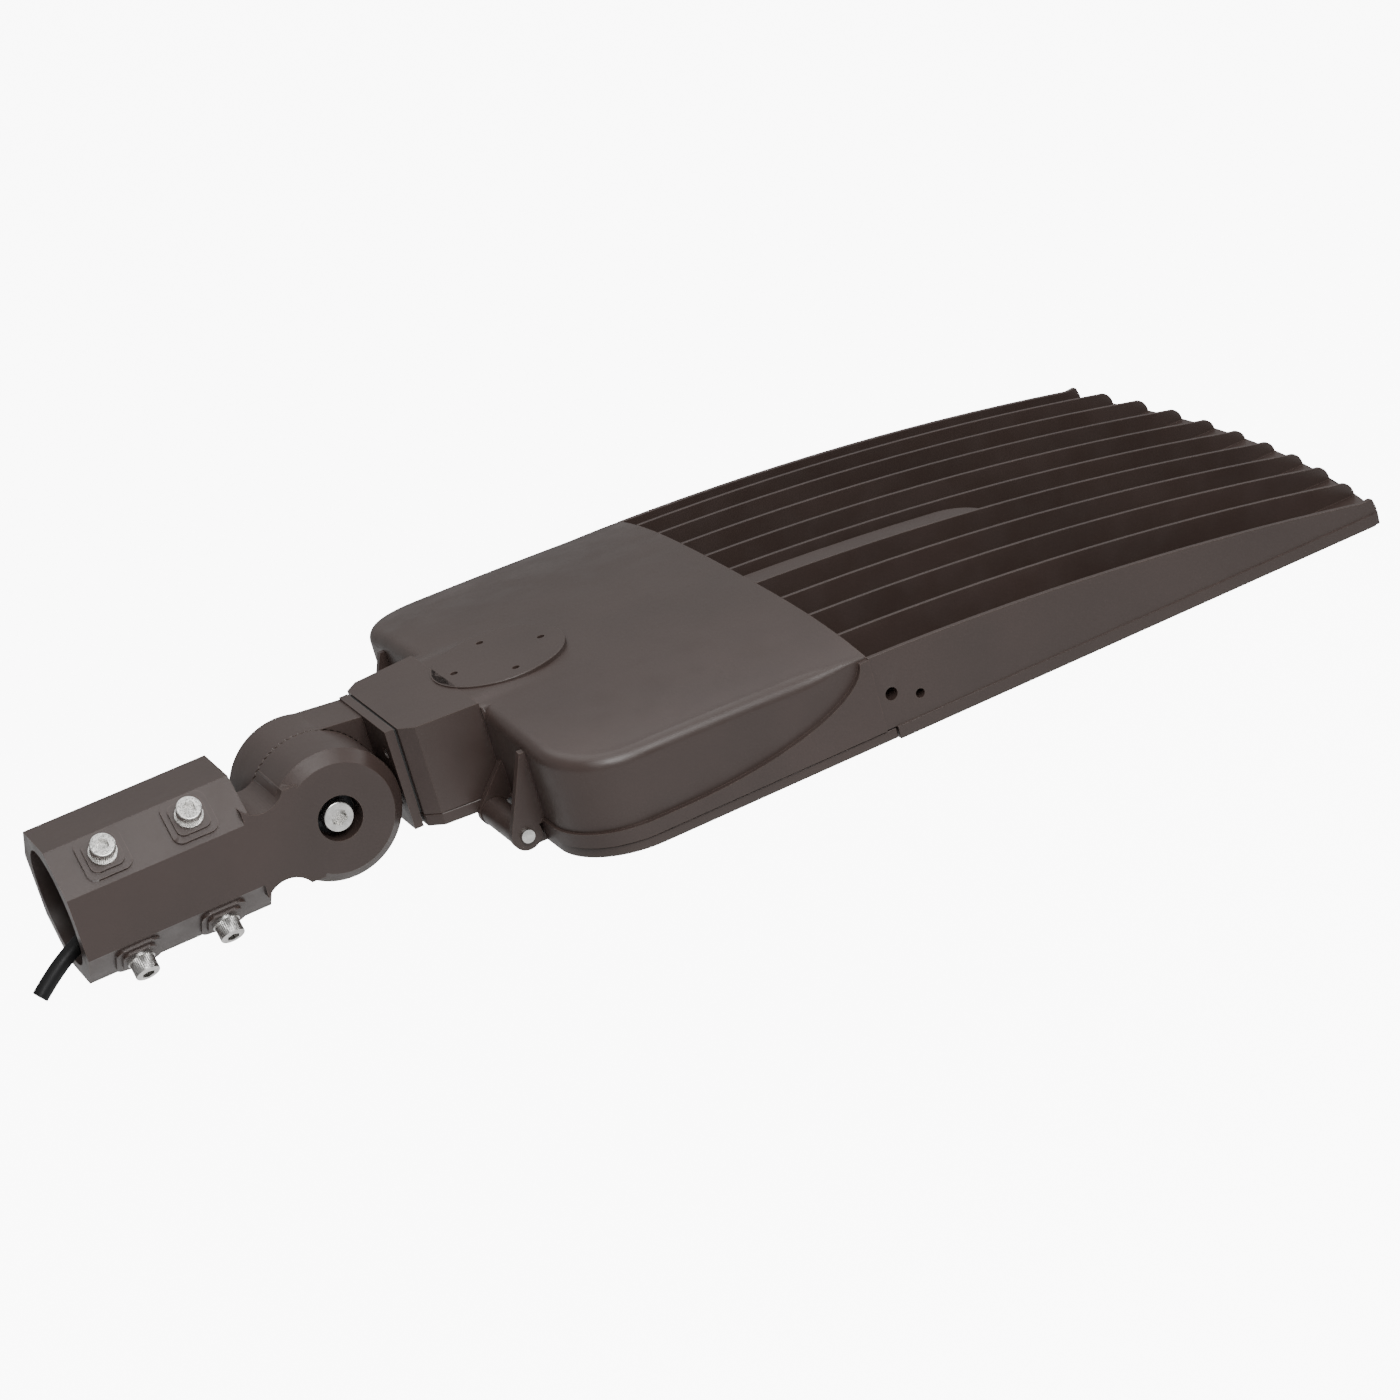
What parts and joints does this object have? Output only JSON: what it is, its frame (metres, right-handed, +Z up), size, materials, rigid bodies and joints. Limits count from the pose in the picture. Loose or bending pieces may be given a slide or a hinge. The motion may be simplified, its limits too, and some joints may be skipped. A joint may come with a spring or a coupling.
{
  "type": "street lamp head",
  "caption": "LED street lamp head with a finned die-cast housing, hinged driver door, toothed tilting knuckle and a clamp socket for a pole tenon.",
  "frame": {"origin": "centre of the mouth of the pole tenon socket", "axes": "+X along the socket towards the lamp's front edge, +Z up with the lamp level, so the lenses face -Z"},
  "size_m": [0.734, 0.309, 0.0826],
  "materials": {
    "cast_dark": "satin",
    "steel": "satin",
    "black_rubber": "matte",
    "board_white": "matte",
    "phosphor": "satin",
    "clear_lens": "gloss",
    "driver_case": "satin",
    "red_plastic": "satin",
    "white_plastic": "satin",
    "lead_black": "matte",
    "lead_red": "matte"
  },
  "bodies": {
    "socket": {"tenon_socket": "cast_dark", "knuckle_bolt": "steel", "knuckle_washer": "steel", "knuckle_nut": "steel", "set_screw_washers": "steel", "cord_gland": "black_rubber", "supply_cord": "black_rubber"},
    "set_screw_1": {"set_screw_1": "steel"},
    "set_screw_2": {"set_screw_2": "steel"},
    "set_screw_3": {"set_screw_3": "steel"},
    "set_screw_4": {"set_screw_4": "steel"},
    "head": {"arm_adapter": "cast_dark", "arm_gasket": "black_rubber", "arm_bolts": "steel", "arm_bolt_washers": "steel", "driver_box": "cast_dark", "heat_sink": "cast_dark", "neck_cover": "cast_dark", "neck_cover_screws": "steel", "led_boards": "board_white", "led_chips": "phosphor", "lens_gaskets": "black_rubber", "lens_plates": "clear_lens", "lens_screws": "steel", "led_driver": "driver_case", "driver_screws": "steel", "surge_protector": "red_plastic", "surge_screws": "steel", "terminal_block": "white_plastic", "terminal_screws": "steel", "wire_grommet": "black_rubber", "mains_leads": "lead_black", "led_leads": "lead_red", "hinge_pins": "steel"},
    "door": {"driver_door": "cast_dark", "door_gasket": "black_rubber", "door_screw_clips": "steel"},
    "door_screw_left": {"door_screw_left": "steel"},
    "door_screw_right": {"door_screw_right": "steel"}
  },
  "joints": [
    {"name": "knuckle_tilt", "type": "hinge", "parent": "socket", "child": "head", "pos_m": [0.142, 0, 0], "axis": [0, 1, 0], "range_deg": [-90, 90]},
    {"name": "door_swing", "type": "hinge", "parent": "head", "child": "door", "pos_m": [0.214, 0, -0.0215], "axis": [0, 1, 0], "range_deg": [0, 95]},
    {"name": "set_screw_1_slide", "type": "slide", "parent": "socket", "child": "set_screw_1", "axis": [0, -0.7071, 0.7071], "range_m": [0, 0.008]},
    {"name": "set_screw_2_slide", "type": "slide", "parent": "socket", "child": "set_screw_2", "axis": [0, -0.7071, 0.7071], "range_m": [0, 0.008]},
    {"name": "set_screw_3_slide", "type": "slide", "parent": "socket", "child": "set_screw_3", "axis": [0, -0.7071, -0.7071], "range_m": [0, 0.008]},
    {"name": "set_screw_4_slide", "type": "slide", "parent": "socket", "child": "set_screw_4", "axis": [0, -0.7071, -0.7071], "range_m": [0, 0.008]},
    {"name": "door_screw_left_slide", "type": "slide", "parent": "door", "child": "door_screw_left", "axis": [0, 0, -1], "range_m": [0, 0.014]},
    {"name": "door_screw_right_slide", "type": "slide", "parent": "door", "child": "door_screw_right", "axis": [0, 0, -1], "range_m": [0, 0.014]}
  ]
}
